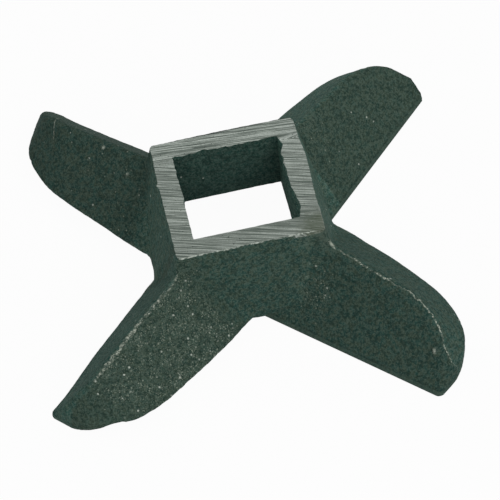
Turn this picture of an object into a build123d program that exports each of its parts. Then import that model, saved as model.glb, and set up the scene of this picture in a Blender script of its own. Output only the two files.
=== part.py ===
from build123d import *
from math import radians, tan
import os

# A knife for a meat grinder, cast in one piece: a square hub with a square drive hole, and four
# roof-shaped wings that run out along the hub's diagonals.
# The cutting plane, in which the wings' flat lands lie, is z = 0. The hub stands up from it on the
# drive hole's axis, which is the Z axis, and the hub's sides are square to X and Y.
# Sizes are in millimetres and angles in degrees.

# Hub
drive_square = 14.3
hub_top_side = 19.7
hub_height = 14.0
hub_draft = 13.2
hub_corner_radius = 0.8
hole_corner_radius = 0.3
rim_diameter = 24.6
rim_height = 1.3
recess_side = 22.0
recess_corner_radius = 3.0
recess_depth = 4.3

# Wing in plan: its x runs outward along the wing, and its leading side faces -y
wing_turn = 45.6
leading_offset = 7.7
root_reach = 5.7
root_trailing_offset = 8.8
shoulder_reach = 26.2
shoulder_trailing_offset = 5.9
trailing_radius = 178.0
tip_radius = 13.4
tip_turn = 38.5
toe_radius = 7.5
toe_turn = 38.0
corner_reach = 35.4

# Wing in section
cutting_edge_height = 0.5
leading_slope_at_root = 56.8
leading_slope_at_corner = 51.9
trailing_slope = 47.0
land_offset = 4.1
relief_offset = 2.2
relief_height = 2.6

# The slope of each wing's end, counter-clockwise from +X: one of them is cast steeper
end_slopes = (57.0, 69.0, 57.0, 57.0)

# Soft cast edges
crest_radius = 0.8
notch_radius = 1.2

# Cuts and helper blocks reach past the wing by this much
clearance = 6.0

crest_rise = hub_height - relief_height
hub_foot_side = hub_top_side + 2 * crest_rise * tan(radians(hub_draft))
trailing_inset = crest_rise / tan(radians(trailing_slope))
far_side = root_trailing_offset + clearance
far_reach = corner_reach + clearance


def inward(edge, position, distance):
    """The point beside an outline's edge, on the wing's side of it."""
    direction = edge % position
    return edge @ position + Vector(direction.Y, -direction.X) * distance


def leading_block():
    """All that lies behind the cutting edge and the leading face, which twists a little."""
    face_rise = hub_height - cutting_edge_height
    root_inset = face_rise / tan(radians(leading_slope_at_root))
    corner_inset = face_rise / tan(radians(leading_slope_at_corner))
    twist = (corner_inset - root_inset) / (corner_reach - root_reach)
    far_inset = root_inset + twist * (far_reach - root_reach)
    levels = ((cutting_edge_height, 0, 0), (hub_height, root_inset, far_inset))
    with BuildPart() as block:
        for height, near_inset, outer_inset in levels:
            with BuildSketch(Plane.XY.offset(height)):
                with BuildLine():
                    Polyline(
                        (root_reach, near_inset - leading_offset),
                        (far_reach, outer_inset - leading_offset),
                        (far_reach, far_side),
                        (root_reach, far_side),
                        close=True,
                    )
                make_face()
        loft(ruled=True)
        foot = block.faces().sort_by(Axis.Z)[0]
        extrude(foot, amount=cutting_edge_height, dir=(0, 0, -1))
    return block.part


def wing(end_slope):
    """One wing along +x, from inside the hub to its tip."""
    end_inset = crest_rise / tan(radians(end_slope))
    blend = end_inset - trailing_inset
    with BuildPart() as body:
        # Trailing side, tip and end: upright below the relief's height, sloped above it
        with BuildSketch(Plane.XY.offset(relief_height)) as foot:
            with BuildLine():
                trailing = RadiusArc(
                    (root_reach, root_trailing_offset),
                    (shoulder_reach, shoulder_trailing_offset),
                    trailing_radius,
                )
                tip = JernArc(trailing @ 1, trailing % 1, tip_radius, -tip_turn)
                toe = JernArc(tip @ 1, tip % 1, toe_radius, -toe_turn)
                to_corner = Vector(corner_reach, -leading_offset) - toe @ 1
                end = Line(toe @ 1, toe @ 1 + to_corner * 2)
                Polyline(end @ 1, (root_reach, (end @ 1).Y), trailing @ 0)
            make_face()
        extrude(foot.sketch, amount=relief_height, dir=(0, 0, -1))
        with BuildSketch(Plane.XY.offset(hub_height)):
            with BuildLine():
                crest_trailing = ThreePointArc(
                    inward(trailing, 0, trailing_inset),
                    inward(trailing, 0.5, trailing_inset),
                    inward(trailing, 1, trailing_inset),
                )
                crest_tip = ThreePointArc(
                    crest_trailing @ 1,
                    inward(tip, 0.5, trailing_inset + blend / 4),
                    inward(tip, 1, trailing_inset + blend / 2),
                )
                crest_toe = ThreePointArc(
                    crest_tip @ 1,
                    inward(toe, 0.5, trailing_inset + blend * 3 / 4),
                    inward(toe, 1, end_inset),
                )
                crest_end = inward(end, 1, end_inset)
                Polyline(crest_toe @ 1, crest_end, (root_reach, crest_end.Y), crest_trailing @ 0)
            make_face()
        loft(ruled=True)
        add(leading_block(), mode=Mode.INTERSECT)

        # Underside: a flat land behind the cutting edge, then a slope up to the relief
        with BuildSketch(Plane.YZ.offset(root_reach)):
            with BuildLine():
                Polyline(
                    (-land_offset, 0),
                    (relief_offset, relief_height),
                    (far_side, relief_height),
                    (far_side, -clearance),
                    (-land_offset, -clearance),
                    close=True,
                )
            make_face()
        extrude(amount=far_reach, mode=Mode.SUBTRACT)

        # Rounded crest and tip corner: every outer edge that the leading side shares
        by_side = body.faces().sort_by(lambda face: face.normal_at().Y)
        leading_edges = by_side[0].edges() + by_side[1].edges()
        outer_edges = leading_edges.filter_by(lambda edge: edge.center().X > root_reach + crest_radius)
        along_cutting_edge = outer_edges.filter_by(Axis.X)
        fillet([edge for edge in outer_edges if edge not in along_cutting_edge], crest_radius)
    return body.part


def is_valley(edge):
    """True for an edge that climbs the hub's wall between the hub and a wing."""
    return edge.bounding_box().size.Z > crest_rise / 2 and edge.center().length < hub_foot_side


with BuildPart() as knife_casting:
    # Hub, drafted from its foot to its ground top
    for height, side in ((relief_height, hub_foot_side), (hub_height, hub_top_side)):
        with BuildSketch(Plane.XY.offset(height)):
            RectangleRounded(side, side, hub_corner_radius)
    loft(ruled=True)

    # Wings
    for place, end_slope in enumerate(end_slopes):
        with Locations(Rotation(0, 0, wing_turn + place * 360 / len(end_slopes))):
            add(wing(end_slope))
    fillet(knife_casting.edges().filter_by(is_valley), notch_radius)

    # Rim and square recess under the hub
    with BuildSketch(Plane.XY.offset(rim_height)):
        Circle(rim_diameter / 2)
    extrude(amount=relief_height - rim_height)
    with BuildSketch():
        RectangleRounded(recess_side, recess_side, recess_corner_radius)
    extrude(amount=recess_depth, mode=Mode.SUBTRACT)

    # Drive hole
    with BuildSketch():
        RectangleRounded(drive_square, drive_square, hole_corner_radius)
    extrude(amount=hub_height, mode=Mode.SUBTRACT)

knife_casting.part.label = "knife_casting"
os.makedirs("parts", exist_ok=True)
export_step(knife_casting.part, "parts/knife_casting.step")
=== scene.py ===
from collections import namedtuple
from math import cos, radians, sin

import bpy
import numpy as np
from mathutils import Matrix, Vector, noise


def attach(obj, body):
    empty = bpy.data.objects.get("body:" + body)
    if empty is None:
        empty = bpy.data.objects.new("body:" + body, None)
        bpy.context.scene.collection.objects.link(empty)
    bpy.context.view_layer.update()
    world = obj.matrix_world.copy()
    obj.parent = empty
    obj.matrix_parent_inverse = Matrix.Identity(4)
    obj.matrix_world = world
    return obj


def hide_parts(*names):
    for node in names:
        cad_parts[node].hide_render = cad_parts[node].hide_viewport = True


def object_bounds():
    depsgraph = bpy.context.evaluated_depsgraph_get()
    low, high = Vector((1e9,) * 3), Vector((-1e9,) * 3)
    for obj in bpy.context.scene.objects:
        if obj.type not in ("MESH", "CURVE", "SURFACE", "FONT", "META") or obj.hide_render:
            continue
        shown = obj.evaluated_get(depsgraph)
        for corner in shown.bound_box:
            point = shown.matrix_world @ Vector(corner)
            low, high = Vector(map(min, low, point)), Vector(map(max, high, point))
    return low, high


# The looks of a cast meat grinder knife: its as-cast skin, its ground hub top and its wear, with light
# and shade painted into its colour in places.
# The drive hole's axis is the Z axis and the cutting plane is z = 0. Names that end in _MM, and all
# places and sizes on the casting, are in millimetres. The lamps, the floor and the camera's clip
# distances are in metres. Angles are in degrees.

MM = 0.001
WHITE = (1, 1, 1, 1)

# Camera, as found from the hub and the outline in the photograph
CAMERA_AZIMUTH = -7.26
CAMERA_ELEVATION = 52.05
CAMERA_ROLL = -6.22
CAMERA_DISTANCE_MM = 423.27
CAMERA_RIGHT_MM = 0.962
CAMERA_UP_MM = 0.242
CAMERA_LENS = 224.94
SENSOR_WIDTH = 36.0
CLIP_START = 0.01
CLIP_END = 20.0

# Studio light and floor
WORLD_STRENGTH = 0.42
LAMP_SIZE = 0.6
FRONT_LAMP = (0.1, -0.7, 0.6)
FRONT_POWER = 2.4
RIGHT_LAMP = (0.5, -0.2, 0.8)
RIGHT_POWER = 1.2
FLOOR_HALF = 1.5
FLOOR_DROP_MM = 0.02
FLOOR_GREY = 0.8
FLOOR_GLOW = 0.96

# Fine mesh that carries the casting's surface
WELD_MM = 0.001
REMESH_DEPTH = 8
REMESH_SCALE = 0.85
REMESH_SHARPNESS = 1.0
SHARP_ANGLE = 45

# The knife's own sizes. The wings are counted counter-clockwise, and named by the photograph.
WING_COUNT = 4
WING_STEP = 360 / WING_COUNT
WING_TURN = 45.6
SIDE_COUNT = 4
SIDE_STEP = 360 / SIDE_COUNT
HUB_TOP_MM = 14.0
HUB_HALF_MM = 9.85
HOLE_HALF_MM = 7.15
HOLE_FOOT_MM = 4.3
RIGHT_UP, LEFT_UP, LEFT_DOWN, RIGHT_DOWN = range(WING_COUNT)

# How near to the ground top, a land or the hole's wall a vertex counts as on it, and how upright
# its normal is there
GROUND_NEAR_MM = 0.02
GROUND_NORMAL = 0.5
LAND_NEAR_MM = 0.12
LAND_NORMAL = -0.7
WALL_NEAR_MM = 0.3
WALL_FOOT_MM = HOLE_FOOT_MM - 0.1

# Where each wing's crest is looked for, from station to station outward
FIRST_STATION_MM = 13.0
LAST_STATION_MM = 35.2
STATION_GAP_MM = 0.4
STATION_REACH_MM = 0.35
CREST_DROP_MM = 0.03
FAR_MM = 9.0

# How the casting differs from a perfect one. A place on a wing is given outward along it and
# across it from its middle line, and a push the same way: wing, place, reach, push.
WING_PUSHES = (
    (RIGHT_UP, (27.0, 5.5), 6.0, (0.0, -0.25)),
    (RIGHT_UP, (29.5, 1.0), 5.0, (0.0, -0.13)),
    (RIGHT_UP, (34.0, -2.0), 3.0, (0.14, 0.0)),
    (RIGHT_UP, (34.0, -3.2), 2.4, (0.15, 0.0)),
    (RIGHT_UP, (35.6, -5.6), 4.2, (0.34, 0.0)),
    (RIGHT_UP, (15.0, 7.5), 4.0, (0.0, 0.13)),
    (LEFT_UP, (35.5, -6.0), 5.0, (0.95, 0.0)),
    (LEFT_UP, (35.6, -7.7), 2.0, (0.15, -0.2)),
    (LEFT_UP, (20.0, -8.0), 9.0, (0.0, -0.3)),
    (LEFT_UP, (14.5, -8.0), 3.5, (0.0, -0.12)),
    (LEFT_UP, (32.0, -8.0), 4.0, (0.0, 0.12)),
    (LEFT_UP, (18.5, 7.5), 5.0, (0.0, -0.13)),
    (LEFT_UP, (34.5, -1.0), 5.0, (0.1, 0.0)),
    (LEFT_UP, (33.0, 2.0), 4.0, (0.18, 0.18)),
    (LEFT_DOWN, (32.0, -7.5), 8.0, (0.0, 0.35)),
    (LEFT_DOWN, (34.3, 1.6), 2.2, (-0.08, -0.2)),
    (LEFT_DOWN, (32.8, 4.0), 2.5, (0.1, 0.15)),
    (LEFT_DOWN, (11.5, 8.5), 3.5, (-0.05, -0.13)),
    (LEFT_DOWN, (11.9, -6.3), 2.2, (0.22, -0.22)),
    (LEFT_DOWN, (31.5, 4.0), 3.0, (0.1, 0.2)),
    (RIGHT_DOWN, (12.5, 7.5), 3.5, (0.05, 0.13)),
    (RIGHT_DOWN, (19.0, 7.0), 6.0, (0.0, 0.16)),
    (RIGHT_DOWN, (30.0, 4.5), 7.0, (-0.05, -0.25)),
    (RIGHT_DOWN, (34.0, 0.5), 3.5, (-0.12, 0.0)),
    (RIGHT_DOWN, (35.3, -4.5), 3.5, (0.2, 0.0)),
)

# The same for the crest alone, and the heights between which such a push sets in
CREST_PUSHES = (
    (RIGHT_DOWN, (34.0, -3.5), 4.0, (-0.35, -0.3)),
    (LEFT_DOWN, (26.0, -1.5), 12.0, (0.0, -0.4)),
)
CREST_PUSH_HEIGHTS = (2.0, 4.0)

# Raised spots: wing, place, height, radius
LUMPS = (
    (RIGHT_DOWN, (33.0, -4.3), 0.18, 0.9),
    (RIGHT_DOWN, (13.4, -4.2), 0.12, 0.8),
    (LEFT_UP, (31.6, -3.0), 0.15, 1.5),
)

# Noise that moves the surface: how its octaves follow each other, and how far apart its seeds lie
OCTAVE_FALL = 1.0
OCTAVE_SCALE = 2.0
SEED_STEP = (7.3, 3.1, 5.9)

# Height and size of the cast grain, of slow waves in the skin, and of the coarse sand on one face
GRAIN_HEIGHT = 0.035
GRAIN_SPACING = 0.8
WAVE_HEIGHT = 0.03
WAVE_SPACING = 5.0
SAND_HEIGHT = 0.05
SAND_SPACING = 0.7

# Coarse sand on the lower left wing's trailing face: where it sets in beyond the crest and the
# root, and where it ends at the slanting tip
SAND_CREST = (-0.2, 0.5)
SAND_ROOT = (12.0, 15.0)
SAND_TIP = (30.5, 33.5)
SAND_TIP_SLANT = 0.25

# Other sandy places: wing, place, radius, amount
SANDY_SPOTS = (
    (RIGHT_DOWN, (14.5, -4.3), 3.2, 0.9),
    (RIGHT_UP, (16.5, -1.2), 4.0, 0.4),
    (LEFT_UP, (21.0, 2.5), 12.0, 0.22),
)

# Bright metal that shows through the skin: wing, place, radius
BARE_SPOTS = (
    (LEFT_UP, (27.9, -4.1), 0.3),
    (LEFT_UP, (21.6, 0.1), 0.24),
    (LEFT_UP, (16.7, 1.8), 0.22),
    (RIGHT_DOWN, (33.0, -4.3), 0.3),
    (RIGHT_DOWN, (14.7, 0.0), 0.4),
)

# Crests painted with a highlight, where their rounded ridges catch the light: half the highlight line's
# width and its outer end, by wing
HIGHLIGHTED_CRESTS = {
    LEFT_DOWN: (0.36, 32.7),
    RIGHT_DOWN: (0.17, 36.0),
}

# Where such a line sets in and how it fades out, the share of its width that is full, how far it
# wanders off the crest and over what length, and what is left of it between dashes and in breaks
HIGHLIGHT_START = (14.2, 15.0)
HIGHLIGHT_FADE = 2.5
HIGHLIGHT_CORE = 0.3
HIGHLIGHT_WANDER = 0.6
HIGHLIGHT_WANDER_SIZE = 0.5
DASH_GAP_LEVEL = 0.04
BREAK_LEVEL = 0.2
THINNEST_HIGHLIGHT = 0.001

# A long scratch across a wing: wing, one end, other end. Beside its line it fades out.
SCRATCH = (LEFT_UP, (32.0, -4.0), (29.5, 1.2))
SCRATCH_EDGE = (0.03, 0.14)
SCRATCH_LEVEL = 0.5

# How light and how brown each wing's leading and trailing side is painted: the lightness is painted light
# and shade, lighter or darker by the way each face faces, and the brown is the casting's hue
SIDE_PAINTED_LIGHT_AND_BROWN = {
    RIGHT_UP: ((1.24, 0.5), (2.0, -0.2)),
    LEFT_UP: ((1.1, 0.0), (1.02, 0.0)),
    LEFT_DOWN: ((1.55, -0.4), (1.15, 0.6)),
    RIGHT_DOWN: ((1.12, 0.0), (1.4, -0.1)),
}
# Where this painted light and shade and the brown set in along each wing, and half the width of their
# change across the crest
WING_LIGHT_AND_BROWN_START = (11.0, 14.0)
CREST_LIGHT_AND_BROWN_HALF_MM = 0.3

# The same painted light and shade, and brown, for the hub's sides and the hole's walls, in order right,
# back, left, front
HUB_PAINTED_LIGHT_AND_BROWN = ((1.75, 0.0), (1.2, 0.0), (1.6, -0.1), (1.26, 0.0))
HOLE_PAINTED_LIGHT_AND_BROWN = ((2.7, -0.6), (1.38, -0.8), (1.5, -0.8), (1.5, -0.8))

# Sides that bow out or in: axis and sign of the side, middle, half width, push
HUB_SIDE_BOWS = (
    ((0, 1), 2.0, 6.5, 0.3),
    ((1, -1), -0.9, 1.5, -0.1),
    ((0, -1), 2.9, 0.5, 0.25),
    ((0, -1), 8.5, 4.0, -0.14),
    ((1, 1), 0.0, 12.0, 0.1),
)
HOLE_SIDE_BOWS = (
    ((0, 1), -4.6, 2.8, 0.45),
    ((0, 1), 5.6, 1.4, 0.35),
    ((1, 1), -2.8, 1.6, 0.25),
    ((0, -1), 0.4, 1.6, -0.2),
)

# How far beside a side its bow reaches, and the depths at which it has ended and is full
HUB_BOW_REACH = 1.6
HUB_BOW_DEPTHS = (6.0, 0.5)
HOLE_BOW_REACH = 0.9
HOLE_BOW_DEPTHS = (4.0, 0.5)

# Broken edges: roughness, reach beside the side, and the depths at which it has ended and is full.
# The hole's edges are in order right, back, left, front, and one stretch of them is quieter.
EDGE_BREAK_SIZE = 0.7
HUB_EDGE_ROUGHNESS = 0.06
HUB_EDGE_REACH = 0.8
HUB_EDGE_DEPTHS = (1.2, 0.2)
HOLE_EDGE_ROUGHNESS = (0.2, 0.16, 0.14, 0.03)
HOLE_EDGE_REACH = 0.9
HOLE_EDGE_DEPTHS = (7.0, 1.0)
QUIET_SHARE = 0.3
QUIET_BEFORE_Y = -1.0

# The hub's corners: two are crisp, and the one over the lower right wing is rubbed round
CORNER_SHARPENING = 0.08
CORNER_REACH = 1.2
WORN_CORNER = (HUB_HALF_MM, -HUB_HALF_MM, HUB_TOP_MM)
WORN_REACH = 3.2
WORN_DEPTH = 0.25
WORN_HOLE_GAP = 0.4
DULL_REACH = 5.5

# Colours of the as-cast skin
DARK_GREEN = (0.011, 0.040, 0.034, 1)
GREEN = (0.019, 0.056, 0.046, 1)
DARK_OLIVE = (0.026, 0.045, 0.031, 1)
OLIVE = (0.037, 0.059, 0.041, 1)
SMEARED = (0.070, 0.094, 0.074, 1)
PALE = (0.078, 0.118, 0.096, 1)
HOLLOW = (0.009, 0.026, 0.021, 1)
# Painted glints: bright colours for sand grains that catch the light
PAINTED_GLINT = (0.24, 0.28, 0.22, 1)
PAINTED_GRAIN_GLINT = (0.22, 0.26, 0.21, 1)
PAINTED_FLECK_GLINT = (0.46, 0.50, 0.44, 1)
# Painted highlight on the lip over the cutting edge, and the painted shade line above it
LIP_HIGHLIGHT = (0.070, 0.110, 0.088, 1)
LIP_SHADE_LINE = (0.009, 0.022, 0.018, 1)
# Bright iron: bare spots and the scratch, and the painted highlight along the crests
BARE_IRON_AND_HIGHLIGHT = (0.52, 0.56, 0.47, 1)

# Colours of the ground steel
STEEL_GROOVE = (0.115, 0.142, 0.122, 1)
STEEL_RIDGE = (0.48, 0.53, 0.485, 1)
STEEL_SPECKLE = (0.13, 0.155, 0.135, 1)
STEEL_SCORE = (0.05, 0.068, 0.058, 1)
STEEL_PIT = (0.04, 0.055, 0.045, 1)
# Painted shade for the back edge and the front of the hub's top
STEEL_BACK_EDGE_SHADE = (0.02, 0.03, 0.025, 1)
STEEL_FRONT_SHADE = (0.09, 0.11, 0.092, 1)
STEEL_STAIN = (0.085, 0.105, 0.072, 1)
BURR = (0.50, 0.55, 0.49, 1)

# Patterns in the surface: noise with patches of a size, which shows between its two levels
Pattern = namedtuple("Pattern", "size detail roughness low high")
BROAD_PATCHES = Pattern(1.6, 3.0, 0.6, 0.38, 0.62)
HUE_PATCHES = Pattern(0.7, 2.0, 0.5, 0.4, 0.6)
PALE_PATCHES = Pattern(0.26, 3.0, 0.7, 0.38, 0.62)
HOLLOWS = Pattern(0.5, 2.0, 0.6, 0.48, 0.62)
CLUSTERS = Pattern(1.3, 2.0, 0.5, 0.4, 0.6)
PAINTED_GLINT_PATCHES = Pattern(0.17, 2.0, 0.6, 0.53, 0.72)
DASHES = Pattern(0.28, 3.0, 0.8, 0.45, 0.58)
BREAKS = Pattern(0.9, 2.0, 0.5, 0.38, 0.55)
SPECKLE = Pattern(0.16, 1.0, 0.5, 0.3, 0.7)
PITS = Pattern(0.35, 2.0, 0.6, 0.64, 0.72)
BURR_PATCHES = Pattern(0.5, 3.0, 0.7, 0.44, 0.58)

# Fine scratches on the ground faces: the way they run, the way they run behind the hole and where
# that changes, and the patterns of light and dark ones, with how each is stretched
LINES_TURN = 18.0
BACK_LINES_TURN = 5.0
BACK_LINES_Y = (HOLE_HALF_MM - 1, HOLE_HALF_MM)
LIGHT_LINES = Pattern(1.0, 3.0, 0.8, 0.42, 0.58)
LIGHT_STRETCH = (0.08, 5.6, 1.0)
DARK_LINES = Pattern(1.0, 1.0, 0.6, 0.56, 0.64)
DARK_STRETCH = (0.13, 7.5, 1.0)

# Grains with painted glints, coloured bright as if they catch the light: how much of a fine field of
# them, and how many single ones, where the skin is sandy and everywhere, the size and the least
# brightness of one, and where its edge fades
CLUSTER_GAP_LEVEL = 0.3
PAINTED_GLINT_SHARE = 0.85
PAINTED_GLINT_SHARE_EVERYWHERE = 0.1
SPECK_EDGE = (0.15, 0.5)
GRAIN_SIZE = 0.33
GRAIN_DIMMEST = 0.25
GRAIN_SHARE = 0.3
FLECK_SIZE = 0.42
FLECK_DIMMEST = 0.6
FLECK_SHARE = 0.05
FLECK_SHARE_EVERYWHERE = 0.0035

# Heights between which the painted highlight on the lip over the cutting edge ends, and the painted shade
# line above it
LIP_HIGHLIGHT_TOP = (0.7, 0.8)
SHADE_LINE_TOP = (0.9, 1.1)

# Where the steel shows: depths under the hub's top, on it and round the worn corner, how near that
# corner, and heights of the lands
TOP_DEPTHS = (0.06, 0.01)
WORN_TOP_DEPTHS = (0.7, 0.5)
WORN_TOP_DULL = (0.1, 0.2)
LAND_HEIGHTS = (0.01, 0.03)

# The painted shade on the back edge of the hub's top, the bright burr on its front edge, and the painted
# shade that darkens its front
BACK_EDGE_SHADE_Y = (HUB_HALF_MM - 0.08, HUB_HALF_MM + 0.02)
BURR_Y = (0.1 - HUB_HALF_MM, 0.02 - HUB_HALF_MM)
BURR_DEPTHS = (0.2, 0.12)
FRONT_SHADE_SHARE = 0.22

# Grey smear and brown stain round the worn corner: how uneven each is, and where it shows
SMEAR_UNEVENNESS = 0.4
SMEAR_LEVELS = (0.4, 1.1)
STAIN_UNEVENNESS = 0.15
STAIN_LEVELS = (0.15, 0.85)

# Finish of the surface
SKIN_ROUGHNESS = 0.8
STEEL_ROUGHNESS = 0.48
STEEL_METALLIC = 0.7
SPECULAR_LEVEL = 0.06
BUMP_STRENGTH = 0.9
BUMP_MM = 0.13
GRAIN_BUMP = 0.6
GROOVE_BUMP = 0.15


# Node graphs


class Graph:
    """Short calls that add nodes to one node tree."""

    def __init__(self, tree):
        self.tree = tree
        tree.nodes.clear()

    def add(self, kind, inputs=None, **settings):
        """A node with its settings, and its inputs set to numbers or joined to other nodes."""
        node = self.tree.nodes.new(kind)
        for name, value in settings.items():
            setattr(node, name, value)
        for key, value in (inputs or {}).items():
            self.feed(node.inputs[key], value)
        return node

    def feed(self, socket, value):
        """Joins another node's output to a socket, or sets the socket to a number or a colour."""
        if isinstance(value, bpy.types.NodeSocket):
            self.tree.links.new(value, socket)
        else:
            socket.default_value = value

    def math(self, operation, first, second=0.0, clamp=False):
        """One sum on two numbers."""
        node = self.add("ShaderNodeMath", {0: first, 1: second}, operation=operation, use_clamp=clamp)
        return node.outputs[0]

    def ramp(self, value, low, high, start=0.0, end=1.0):
        """A smooth step of a value between two limits."""
        inputs = {"Value": value, "From Min": low, "From Max": high, "To Min": start, "To Max": end}
        return self.add("ShaderNodeMapRange", inputs, interpolation_type="SMOOTHSTEP").outputs["Result"]

    def mix(self, factor, first, second):
        """One colour where the factor is 0, another where it is 1."""
        node = self.add("ShaderNodeMix", {"Factor": factor, 6: first, 7: second}, data_type="RGBA")
        return node.outputs[2]

    def tint(self, colour, other, amount, share):
        """A colour with some of another in it, up to a share where the amount is 1."""
        return self.mix(self.math("MULTIPLY", amount, share), colour, other)

    def blend(self, factor, first, second):
        """One number where the factor is 0, another where it is 1."""
        node = self.add("ShaderNodeMix", {"Factor": factor, 2: first, 3: second}, data_type="FLOAT")
        return node.outputs[0]

    def noise(self, vector, size, detail, roughness):
        """Smooth noise between 0 and 1, with patches of a size."""
        inputs = {"Vector": vector, "Scale": 1 / size, "Detail": detail, "Roughness": roughness}
        return self.add("ShaderNodeTexNoise", inputs).outputs[0]

    def patches(self, vector, pattern, start=0.0, end=1.0):
        """A pattern's noise, as start below its lower level and end above its upper one."""
        level = self.noise(vector, pattern.size, pattern.detail, pattern.roughness)
        return self.ramp(level, pattern.low, pattern.high, start, end)

    def multiply(self, first, second):
        """Two vectors or colours multiplied, part by part."""
        return self.add("ShaderNodeVectorMath", {0: first, 1: second}, operation="MULTIPLY").outputs[0]

    def attribute(self, name):
        """A mark that mark_surface left on the mesh."""
        return self.add("ShaderNodeAttribute", attribute_name=name).outputs["Fac"]

    def millimetres(self):
        """The place on the knife, in millimetres."""
        place = self.add("ShaderNodeTexCoord").outputs["Object"]
        return self.add("ShaderNodeVectorMath", {0: place, "Scale": 1 / MM}, operation="SCALE").outputs[0]


# Camera, light and floor


def make_camera():
    """A long lens that looks down at the knife, a little from its left."""
    azimuth = radians(CAMERA_AZIMUTH)
    elevation = radians(CAMERA_ELEVATION)
    roll = radians(CAMERA_ROLL)
    back = Vector((sin(azimuth) * cos(elevation), -cos(azimuth) * cos(elevation), sin(elevation)))
    level_up = Vector((-sin(azimuth) * sin(elevation), cos(azimuth) * sin(elevation), cos(elevation)))
    level_right = level_up.cross(back)
    right = level_right * cos(roll) + level_up * sin(roll)
    up = level_up * cos(roll) - level_right * sin(roll)
    place = right * CAMERA_RIGHT_MM + up * CAMERA_UP_MM + back * CAMERA_DISTANCE_MM
    camera_data = bpy.data.cameras.new("camera")
    camera_data.lens = CAMERA_LENS
    camera_data.sensor_width = SENSOR_WIDTH
    camera_data.clip_start = CLIP_START
    camera_data.clip_end = CLIP_END
    camera = bpy.data.objects.new("camera", camera_data)
    turn = Matrix((right, up, back)).transposed().to_4x4()
    camera.matrix_world = Matrix.Translation(place * MM) @ turn
    bpy.context.scene.collection.objects.link(camera)
    bpy.context.scene.camera = camera


def make_lamp(name, place, power):
    """A soft white square lamp that points at the knife."""
    data = bpy.data.lights.new(name, "AREA")
    data.shape = "SQUARE"
    data.size = LAMP_SIZE
    data.energy = power
    lamp = bpy.data.objects.new(name, data)
    lamp.location = place
    lamp.rotation_mode = "QUATERNION"
    lamp.rotation_quaternion = (-Vector(place)).to_track_quat("-Z", "Y")
    bpy.context.scene.collection.objects.link(lamp)


def seen_directly(graph):
    """1 for what the camera sees, also in a reflection, and 0 for light that falls on things."""
    path = graph.add("ShaderNodeLightPath")
    return graph.math("MAXIMUM", path.outputs["Is Camera Ray"], path.outputs["Is Glossy Ray"])


def make_world():
    """Even white light from all round, and a white background."""
    world = bpy.data.worlds.new("studio")
    world.use_nodes = True
    graph = Graph(world.node_tree)
    light = graph.add("ShaderNodeBackground", {"Color": WHITE, "Strength": WORLD_STRENGTH})
    backdrop = graph.add("ShaderNodeBackground", {"Color": WHITE, "Strength": 1.0})
    inputs = {"Fac": seen_directly(graph), 1: light.outputs[0], 2: backdrop.outputs[0]}
    mix = graph.add("ShaderNodeMixShader", inputs)
    graph.add("ShaderNodeOutputWorld", {"Surface": mix.outputs[0]})
    bpy.context.scene.world = world


def make_floor():
    """A white floor under the knife, which keeps a faint shadow."""
    half = FLOOR_HALF
    corners = [(-half, -half, 0), (half, -half, 0), (half, half, 0), (-half, half, 0)]
    mesh = bpy.data.meshes.new("floor")
    mesh.from_pydata(corners, [], [(0, 1, 2, 3)])
    floor = bpy.data.objects.new("floor", mesh)
    floor.location.z = -FLOOR_DROP_MM * MM
    bpy.context.scene.collection.objects.link(floor)
    material = bpy.data.materials.new("floor_white")
    material.use_nodes = True
    graph = Graph(material.node_tree)
    paint = graph.add("ShaderNodeBsdfDiffuse", {"Color": (FLOOR_GREY, FLOOR_GREY, FLOOR_GREY, 1)})
    glow = graph.add("ShaderNodeEmission", {"Color": WHITE})
    share = graph.math("MULTIPLY", seen_directly(graph), FLOOR_GLOW)
    mix = graph.add("ShaderNodeMixShader", {"Fac": share, 1: paint.outputs[0], 2: glow.outputs[0]})
    graph.add("ShaderNodeOutputMaterial", {"Surface": mix.outputs[0]})
    mesh.materials.append(material)


# Where each vertex lies


def step(value, low, high):
    """0 below low, 1 above high, and smooth between."""
    share = np.clip((value - low) / (high - low), 0, 1)
    return share * share * (3 - 2 * share)


def hill(distance, radius):
    """1 at the middle and 0 from a radius away."""
    return step(-distance, -radius, 0)


def fractal(points, size, octaves, seed):
    """Smooth noise between about -1 and 1 at each point."""
    start = Vector([seed * part for part in SEED_STEP])
    values = []
    for point in points.tolist():
        place = Vector(point) / size + start
        values.append(noise.fractal(place, OCTAVE_FALL, OCTAVE_SCALE, octaves))
    return np.array(values)


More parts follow.
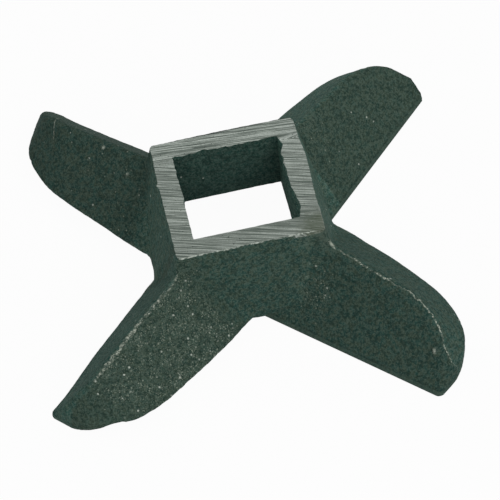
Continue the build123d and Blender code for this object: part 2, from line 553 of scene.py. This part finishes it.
class Places:
    """Where each vertex of the knife is, in millimetres, and in its wing's own frame."""

    def __init__(self, mesh):
        flat = np.empty(len(mesh.vertices) * 3, np.float32)
        mesh.vertices.foreach_get("co", flat)
        self.points = flat.reshape(-1, 3).astype(float) / MM
        mesh.vertices.foreach_get("normal", flat)
        self.normals = flat.reshape(-1, 3).astype(float)
        upright = self.normals[:, 2]
        x, y, self.z = self.points.T
        bearing = np.degrees(np.arctan2(y, x))
        self.wing = np.floor((bearing - WING_TURN + WING_STEP / 2) / WING_STEP).astype(int) % WING_COUNT
        turn = np.radians(WING_TURN + self.wing * WING_STEP)
        self.out = x * np.cos(turn) + y * np.sin(turn)
        self.across = y * np.cos(turn) - x * np.sin(turn)

        # The hub: how far out on plan, and which side, in order right, back, left, front
        self.side = np.maximum(abs(x), abs(y))
        self.facing = np.round(bearing / SIDE_STEP).astype(int) % SIDE_COUNT
        self.ground = (self.z > HUB_TOP_MM - GROUND_NEAR_MM) & (upright > GROUND_NORMAL)
        self.hole = (self.side < HOLE_HALF_MM + WALL_NEAR_MM) & (self.z > WALL_FOOT_MM)
        self.land = (self.z < LAND_NEAR_MM) & (upright < LAND_NORMAL)
        self.crest = self.from_crest()
        self.from_worn_corner = np.linalg.norm(self.points - WORN_CORNER, axis=1)

    def from_crest(self):
        """How far across each vertex lies from its wing's crest: under 0 on the leading side."""
        distance = np.full(len(self.out), FAR_MM)
        stations = np.arange(FIRST_STATION_MM, LAST_STATION_MM, STATION_GAP_MM)
        for wing in range(WING_COUNT):
            offsets = []
            for station in stations:
                near = np.where((self.wing == wing) & (abs(self.out - station) < STATION_REACH_MM))[0]
                near = near[self.z[near] > self.z[near].max() - CREST_DROP_MM]
                offsets.append(self.across[near].mean())
            mine = (self.wing == wing) & (self.out > stations[0])
            distance[mine] = self.across[mine] - np.interp(self.out[mine], stations, offsets)
        return distance

    def spot(self, wing, place, radius):
        """1 at a place on one wing, and 0 from a radius away and on the other wings."""
        distance = np.hypot(self.out - place[0], self.across - place[1])
        return hill(distance, radius) * (self.wing == wing)

    def near_top(self, end_depth, full_depth):
        """1 above a depth under the hub's top, and 0 below another depth."""
        return step(self.z, HUB_TOP_MM - end_depth, HUB_TOP_MM - full_depth)

    def sandy_face(self):
        """1 on the lower left wing's trailing face, where the sand was coarse, but not at its tip."""
        beyond_crest = step(self.crest, *SAND_CREST)
        beyond_root = step(self.out, *SAND_ROOT)
        tip = step(self.out + SAND_TIP_SLANT * self.across, *SAND_TIP)
        return (self.wing == LEFT_DOWN) * beyond_crest * beyond_root * (1 - tip)

    def from_scratch(self):
        """How far beside the long scratch each vertex lies, on plan, or far off past its ends."""
        wing, start, end = SCRATCH
        run = np.array(end) - start
        length = np.linalg.norm(run)
        along = run / length
        beside = np.array([-along[1], along[0]])
        offset = np.stack([self.out, self.across], axis=1) - start
        near = (self.wing == wing) & (offset @ along > 0) & (offset @ along < length)
        return np.where(near, offset @ beside, FAR_MM)


# Shape


def fine_copy(node):
    """A copy of a CAD node's mesh, remade as small even squares that keep its sharp edges."""
    rough = bpy.data.objects.new("rough", node.data.copy())
    bpy.context.scene.collection.objects.link(rough)
    weld = rough.modifiers.new("weld", "WELD")
    weld.merge_threshold = WELD_MM * MM
    remesh = rough.modifiers.new("remesh", "REMESH")
    remesh.mode = "SHARP"
    remesh.octree_depth = REMESH_DEPTH
    remesh.scale = REMESH_SCALE
    remesh.sharpness = REMESH_SHARPNESS
    remesh.use_remove_disconnected = False
    graph = bpy.context.evaluated_depsgraph_get()
    mesh = bpy.data.meshes.new_from_object(rough.evaluated_get(graph))
    bpy.data.objects.remove(rough)
    mesh.name = "knife_surface"
    mesh.materials.clear()
    return mesh


def push_wings(points, places):
    """Small differences between the four wings, as no two come out of the sand alike."""
    upper = step(places.z, *CREST_PUSH_HEIGHTS)
    pushes = [(*push, 1.0) for push in WING_PUSHES] + [(*push, upper) for push in CREST_PUSHES]
    for wing, place, reach, (outward, sideways), share in pushes:
        share = share * places.spot(wing, place, reach)
        turn = radians(WING_TURN + wing * WING_STEP)
        points[:, 0] += share * (outward * cos(turn) - sideways * sin(turn))
        points[:, 1] += share * (outward * sin(turn) + sideways * cos(turn))


def break_edges(points, places):
    """The broken edges that grinding left along the hub's top and round the hole."""
    x, y = places.points[:, :2].T
    on_x_side = abs(x) >= abs(y)
    direction = np.stack([np.sign(x) * on_x_side, np.sign(y) * ~on_x_side], axis=1)
    uneven = fractal(places.points, EDGE_BREAK_SIZE, octaves=3, seed=5)
    share = hill(abs(places.side - HUB_HALF_MM), HUB_EDGE_REACH) * places.near_top(*HUB_EDGE_DEPTHS)
    points[:, :2] += direction * (uneven * (share * HUB_EDGE_ROUGHNESS))[:, None]
    quiet = (x < 0) & (y < QUIET_BEFORE_Y)
    roughness = np.array(HOLE_EDGE_ROUGHNESS)[places.facing] * np.where(quiet, QUIET_SHARE, 1)
    share = hill(abs(places.side - HOLE_HALF_MM), HOLE_EDGE_REACH) * places.near_top(*HOLE_EDGE_DEPTHS)
    points[:, :2] += direction * (uneven * (share * roughness))[:, None]


def bow_sides(points, places, bows, half, reach, depths):
    """Bows the straight sides of the hub or the hole out or in, most at each bow's middle."""
    for (axis, sign), middle, half_width, push in bows:
        beside = abs(places.points[:, axis] * sign - half)
        along = places.points[:, 1 - axis]
        share = hill(beside, reach) * hill(abs(along - middle), half_width) * places.near_top(*depths)
        points[:, axis] += share * push * sign


def sharpen_corners(points, places):
    """Draws out the hub's two left corners, which are crisper than the others."""
    x, y = places.points[:, :2].T
    corner = np.hypot(abs(x) - HUB_HALF_MM, abs(y) - HUB_HALF_MM)
    share = hill(corner, CORNER_REACH) * places.near_top(*HUB_EDGE_DEPTHS) * (x < 0)
    outward = np.stack([np.sign(x), np.sign(y)], axis=1) * CORNER_SHARPENING
    points[:, :2] += outward * share[:, None]


def wear_corner(points, places):
    """The hub's corner over the lower right wing is rubbed round."""
    beside_hole = places.side > HOLE_HALF_MM + WORN_HOLE_GAP
    points[:, 2] -= hill(places.from_worn_corner, WORN_REACH) * beside_hole * WORN_DEPTH


def shape_surface(mesh, places, box):
    """Moves the fine mesh a little, as the sand mould, the grinding and wear did."""
    grain = GRAIN_HEIGHT * fractal(places.points, GRAIN_SPACING, octaves=3, seed=1)
    grain += WAVE_HEIGHT * fractal(places.points, WAVE_SPACING, octaves=2, seed=2)
    sand = places.sandy_face() * SAND_HEIGHT
    grain += sand * fractal(places.points, SAND_SPACING, octaves=2, seed=3)
    for wing, place, height, radius in LUMPS:
        grain += height * places.spot(wing, place, radius)
    cast = ~places.ground & ~places.land & (places.z > GROUND_NEAR_MM)
    moved = places.points + places.normals * (grain * cast)[:, None]
    push_wings(moved, places)
    break_edges(moved, places)
    bow_sides(moved, places, HUB_SIDE_BOWS, HUB_HALF_MM, HUB_BOW_REACH, HUB_BOW_DEPTHS)
    bow_sides(moved, places, HOLE_SIDE_BOWS, HOLE_HALF_MM, HOLE_BOW_REACH, HOLE_BOW_DEPTHS)
    sharpen_corners(moved, places)
    wear_corner(moved, places)
    moved[places.land, 2] = 0
    moved = np.clip(moved, np.array(box[0]) / MM, np.array(box[1]) / MM)
    mesh.vertices.foreach_set("co", (moved * MM).astype(np.float32).ravel())
    mesh.update()


# Marks for the material


def side_painted_light_and_brown(places):
    """How light and how brown the casting is at each vertex, by wing side, hub and hole: the lightness is
    painted light and shade, by the way each face faces.
    """
    painted_light_and_brown = np.array(HUB_PAINTED_LIGHT_AND_BROWN)[places.facing]
    on_wing = step(places.out, *WING_LIGHT_AND_BROWN_START)[:, None]
    trailing_share = step(places.crest, -CREST_LIGHT_AND_BROWN_HALF_MM, CREST_LIGHT_AND_BROWN_HALF_MM)[:, None]
    for wing, (leading, trailing) in SIDE_PAINTED_LIGHT_AND_BROWN.items():
        wing_painted_light_and_brown = leading + np.subtract(trailing, leading) * trailing_share
        mine = (places.wing == wing)[:, None]
        painted_light_and_brown = painted_light_and_brown + (wing_painted_light_and_brown - painted_light_and_brown) * on_wing * mine
    return np.where(places.hole[:, None], np.array(HOLE_PAINTED_LIGHT_AND_BROWN)[places.facing], painted_light_and_brown).T


def crest_highlight_width(places):
    """Half the width of the painted highlight along each wing's crest, which fades out at both ends."""
    width = np.zeros(len(places.out))
    beyond_root = step(places.out, *HIGHLIGHT_START)
    for wing, (half_width, end) in HIGHLIGHTED_CRESTS.items():
        fade = beyond_root * (1 - step(places.out, end - HIGHLIGHT_FADE, end))
        width += (places.wing == wing) * half_width * fade
    return width


def mark_surface(mesh, places):
    """Marks on the mesh for the painted highlight along the crests, bare spots, the scratch, sandy
    places, the painted light and shade of each face, and browner places.
    """
    sandy = places.sandy_face()
    for wing, place, radius, amount in SANDY_SPOTS:
        sandy += places.spot(wing, place, radius) * amount
    painted_light, brown = side_painted_light_and_brown(places)
    marks = {
        "crest": np.clip(places.crest, -FAR_MM, FAR_MM),
        "highlight_width": crest_highlight_width(places),
        "bare": np.clip(sum(places.spot(*spot) for spot in BARE_SPOTS), 0, 1),
        "scratch": places.from_scratch(),
        "sandy": np.clip(sandy, 0, 1),
        "painted_light": painted_light,
        "brown": brown,
        "dull": hill(places.from_worn_corner, DULL_REACH),
    }
    for name, values in marks.items():
        mark = mesh.attributes.new(name, "FLOAT", "POINT")
        mark.data.foreach_set("value", values.astype(np.float32))


# Material


def specks(graph, place, amount, size, dimmest):
    """Grains coloured bright as painted glints, more of them where the amount is high."""
    cells = graph.add("ShaderNodeTexVoronoi", {"Vector": place, "Scale": 1 / size})
    chance = graph.add("ShaderNodeSeparateColor", {0: cells.outputs["Color"]})
    chosen = graph.math("LESS_THAN", chance.outputs[0], amount)
    core = graph.ramp(cells.outputs["Distance"], *SPECK_EDGE, 1.0, 0.0)
    bright = graph.ramp(chance.outputs[1], 0.0, 1.0, dimmest, 1.0)
    return graph.math("MULTIPLY", graph.math("MULTIPLY", chosen, core), bright)


def cast_skin(graph, place, hue, dull):
    """As-cast iron in patches of green and olive, smeared grey near the worn corner."""
    broad = graph.patches(place, BROAD_PATCHES)
    green = graph.mix(broad, DARK_GREEN, GREEN)
    olive = graph.mix(broad, DARK_OLIVE, OLIVE)
    skin = graph.mix(hue, green, olive)
    smear = graph.math("ADD", dull, graph.math("MULTIPLY", broad, SMEAR_UNEVENNESS))
    smear = graph.ramp(smear, *SMEAR_LEVELS)
    skin = graph.tint(skin, SMEARED, smear, share=0.7)
    skin = graph.tint(skin, PALE, graph.patches(place, PALE_PATCHES), share=0.65)
    return graph.tint(skin, HOLLOW, graph.patches(place, HOLLOWS), share=0.6)


def sand_grains_and_painted_glints(graph, place, skin):
    """The skin with painted glints on sand grains, a fine field and a few large ones, and the grains."""
    clusters = graph.patches(place, CLUSTERS, CLUSTER_GAP_LEVEL, 1.0)
    gathered = graph.math("MULTIPLY", graph.attribute("sandy"), clusters)
    painted_glint_share = graph.math("MULTIPLY", gathered, PAINTED_GLINT_SHARE)
    painted_glint_share = graph.math("ADD", painted_glint_share, PAINTED_GLINT_SHARE_EVERYWHERE)
    painted_glints = graph.math("MULTIPLY", graph.patches(place, PAINTED_GLINT_PATCHES), painted_glint_share)
    grain_share = graph.math("MULTIPLY", gathered, GRAIN_SHARE)
    grains_and_glints = specks(graph, place, grain_share, GRAIN_SIZE, GRAIN_DIMMEST)
    fleck_share = graph.math("MULTIPLY", gathered, FLECK_SHARE)
    fleck_share = graph.math("ADD", fleck_share, FLECK_SHARE_EVERYWHERE)
    painted_flecks = specks(graph, place, fleck_share, FLECK_SIZE, FLECK_DIMMEST)
    # Painted glints mixed into the skin's colour
    skin = graph.mix(painted_glints, skin, PAINTED_GLINT)
    skin = graph.mix(grains_and_glints, skin, PAINTED_GRAIN_GLINT)
    return graph.mix(painted_flecks, skin, PAINTED_FLECK_GLINT), grains_and_glints


def cutting_lip_light_and_shade(graph, height, skin):
    """The skin with a painted highlight on the lip over the cutting edge, and a painted shade line above
    it.
    """
    lip_highlight = graph.ramp(height, *LIP_HIGHLIGHT_TOP, 1.0, 0.0)
    shade_line = graph.math("MULTIPLY", graph.ramp(height, *LIP_HIGHLIGHT_TOP), graph.ramp(height, *SHADE_LINE_TOP, 1.0, 0.0))
    skin = graph.tint(skin, LIP_HIGHLIGHT, lip_highlight, share=0.4)
    return graph.tint(skin, LIP_SHADE_LINE, shade_line, share=0.25)


def crest_highlight_and_bare_iron(graph, place, skin):
    """The skin with a painted highlight along the crests in a broken line, bare spots and the long
    scratch.
    """
    wander = graph.noise(place, HIGHLIGHT_WANDER_SIZE, detail=3.0, roughness=0.6)
    wander = graph.math("MULTIPLY", graph.math("SUBTRACT", wander, 0.5), HIGHLIGHT_WANDER)
    # Painted highlight: a broken bright line along the crest
    from_line = graph.math("ABSOLUTE", graph.math("ADD", graph.attribute("crest"), wander))
    half_width = graph.math("ADD", graph.attribute("highlight_width"), THINNEST_HIGHLIGHT)
    from_line = graph.math("DIVIDE", from_line, half_width)
    dashes = graph.patches(place, DASHES, DASH_GAP_LEVEL, 1.0)
    broken = graph.math("MULTIPLY", dashes, graph.patches(place, BREAKS, BREAK_LEVEL, 1.0))
    highlight_and_bare = graph.math("MULTIPLY", graph.ramp(from_line, HIGHLIGHT_CORE, 1.0, 1.0, 0.0), broken)
    highlight_and_bare = graph.math("MAXIMUM", highlight_and_bare, graph.attribute("bare"))
    from_scratch = graph.math("ABSOLUTE", graph.attribute("scratch"))
    scored = graph.ramp(from_scratch, *SCRATCH_EDGE, SCRATCH_LEVEL, 0.0)
    highlight_and_bare = graph.math("MAXIMUM", highlight_and_bare, graph.math("MULTIPLY", scored, broken))
    return graph.mix(highlight_and_bare, skin, BARE_IRON_AND_HIGHLIGHT)


def near_top(graph, height, depths):
    """0 below one depth under the hub's top, and 1 above another."""
    return graph.ramp(height, HUB_TOP_MM - depths[0], HUB_TOP_MM - depths[1])


def ground_faces(graph, height, dull):
    """1 on the hub's ground top, round its worn corner, and on the lands under the wings."""
    top = near_top(graph, height, TOP_DEPTHS)
    corner = near_top(graph, height, WORN_TOP_DEPTHS)
    corner = graph.math("MULTIPLY", corner, graph.ramp(dull, *WORN_TOP_DULL))
    lands = graph.ramp(height, *LAND_HEIGHTS, 1.0, 0.0)
    return graph.math("MAXIMUM", graph.math("MAXIMUM", top, corner), lands)


def grinding_lines(graph, place, y):
    """Light and dark scratches that run one way, and another way behind the hole."""
    turn = graph.ramp(y, *BACK_LINES_Y, radians(LINES_TURN), radians(BACK_LINES_TURN))
    turned = graph.add("ShaderNodeVectorRotate", {"Vector": place, "Angle": turn}, rotation_type="Z_AXIS")
    light = graph.patches(graph.multiply(turned.outputs[0], LIGHT_STRETCH), LIGHT_LINES)
    dark = graph.patches(graph.multiply(turned.outputs[0], DARK_STRETCH), DARK_LINES)
    return light, dark


def ground_steel(graph, place, y, height, light_lines, dark_lines):
    """Ground steel with its scratches, speckle and pits, with painted shade at the back edge and towards
    the front.
    """
    steel = graph.mix(light_lines, STEEL_GROOVE, STEEL_RIDGE)
    steel = graph.tint(steel, STEEL_SPECKLE, graph.patches(place, SPECKLE), share=0.3)
    steel = graph.tint(steel, STEEL_SCORE, dark_lines, share=0.8)
    steel = graph.mix(graph.patches(place, PITS), steel, STEEL_PIT)
    # Painted shade along the back edge of the hub's top
    back_edge_shade = graph.ramp(y, *BACK_EDGE_SHADE_Y)
    back_edge_shade = graph.math("MULTIPLY", back_edge_shade, graph.ramp(height, 0.0, HUB_TOP_MM))
    steel = graph.mix(back_edge_shade, steel, STEEL_BACK_EDGE_SHADE)
    # Painted shade: the steel darker towards the front and lighter towards the back
    return graph.mix(graph.ramp(y, -HUB_HALF_MM, HUB_HALF_MM, FRONT_SHADE_SHARE, 0.0), steel, STEEL_FRONT_SHADE)


def stained(graph, steel, hue, dull):
    """The steel with a brown stain round the worn corner."""
    stain = graph.math("ADD", dull, graph.math("MULTIPLY", hue, STAIN_UNEVENNESS))
    return graph.tint(steel, STEEL_STAIN, graph.ramp(stain, *STAIN_LEVELS), share=0.7)


def front_burr(graph, place, y, height, colour):
    """The colour with a bright broken burr along the top of the hub's front side."""
    front = graph.math("MULTIPLY", graph.ramp(y, *BURR_Y), near_top(graph, height, BURR_DEPTHS))
    return graph.mix(graph.math("MULTIPLY", front, graph.patches(place, BURR_PATCHES)), colour, BURR)


def surface_bump(graph, place, ground, grains_and_glints, light_lines):
    """Bumps: sand grain on the skin, fine grooves on the ground faces."""
    sand = graph.noise(place, size=0.4, detail=3.0, roughness=0.65)
    sand = graph.math("ADD", sand, graph.math("MULTIPLY", grains_and_glints, GRAIN_BUMP))
    height = graph.blend(ground, sand, graph.math("MULTIPLY", light_lines, GROOVE_BUMP))
    inputs = {"Height": height, "Strength": BUMP_STRENGTH, "Distance": BUMP_MM * MM}
    return graph.add("ShaderNodeBump", inputs).outputs[0]


def make_cast_material():
    """Cast iron skin, and steel where the knife is ground."""
    material = bpy.data.materials.new("cast_iron")
    material.use_nodes = True
    graph = Graph(material.node_tree)
    place = graph.millimetres()
    axes = graph.add("ShaderNodeSeparateXYZ", {0: place})
    y, height = axes.outputs[1:]
    dull = graph.attribute("dull")
    painted_light = graph.attribute("painted_light")
    hue = graph.math("ADD", graph.patches(place, HUE_PATCHES), graph.attribute("brown"), clamp=True)

    skin, grains_and_glints = sand_grains_and_painted_glints(graph, place, cast_skin(graph, place, hue, dull))
    # Painted light and shade: each face's skin made lighter or darker by the way it faces
    skin = graph.multiply(skin, graph.add("ShaderNodeCombineXYZ", {0: painted_light, 1: painted_light, 2: painted_light}).outputs[0])
    # The painted highlight and shade line on the cutting lip, then the painted crest highlight, bare
    # spots and the scratch
    skin = crest_highlight_and_bare_iron(graph, place, cutting_lip_light_and_shade(graph, height, skin))
    light_lines, dark_lines = grinding_lines(graph, place, y)
    steel = ground_steel(graph, place, y, height, light_lines, dark_lines)
    ground = ground_faces(graph, height, dull)
    colour = graph.mix(ground, skin, stained(graph, steel, hue, dull))

    inputs = {
        "Base Color": front_burr(graph, place, y, height, colour),
        "Roughness": graph.blend(ground, SKIN_ROUGHNESS, STEEL_ROUGHNESS),
        "Metallic": graph.math("MULTIPLY", ground, STEEL_METALLIC),
        "Specular IOR Level": SPECULAR_LEVEL,
        "Normal": surface_bump(graph, place, ground, grains_and_glints, light_lines),
    }
    shader = graph.add("ShaderNodeBsdfPrincipled", inputs)
    graph.add("ShaderNodeOutputMaterial", {"Surface": shader.outputs[0]})
    return material


# The knife and the scene


def make_knife(node, box):
    """The knife's visible surface, which stands for its CAD solid and stays inside its box."""
    surface = bpy.data.objects.new("knife_surface", fine_copy(node))
    bpy.context.scene.collection.objects.link(surface)
    places = Places(surface.data)
    shape_surface(surface.data, places, box)
    mark_surface(surface.data, places)
    surface.data.materials.append(make_cast_material())
    surface.data.set_sharp_from_angle(angle=radians(SHARP_ANGLE))
    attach(surface, "root")
    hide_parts(node.name)


bpy.context.scene.view_settings.view_transform = "Standard"
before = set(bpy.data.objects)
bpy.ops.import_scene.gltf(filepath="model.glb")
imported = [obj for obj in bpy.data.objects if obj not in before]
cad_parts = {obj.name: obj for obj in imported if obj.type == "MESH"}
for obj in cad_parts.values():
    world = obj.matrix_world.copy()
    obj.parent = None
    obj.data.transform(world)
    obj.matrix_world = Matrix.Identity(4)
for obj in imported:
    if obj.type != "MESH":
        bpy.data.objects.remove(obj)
cad_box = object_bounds()
make_camera()
make_world()
make_floor()
make_lamp("front_lamp", FRONT_LAMP, FRONT_POWER)
make_lamp("right_lamp", RIGHT_LAMP, RIGHT_POWER)
make_knife(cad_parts["knife_casting"], cad_box)
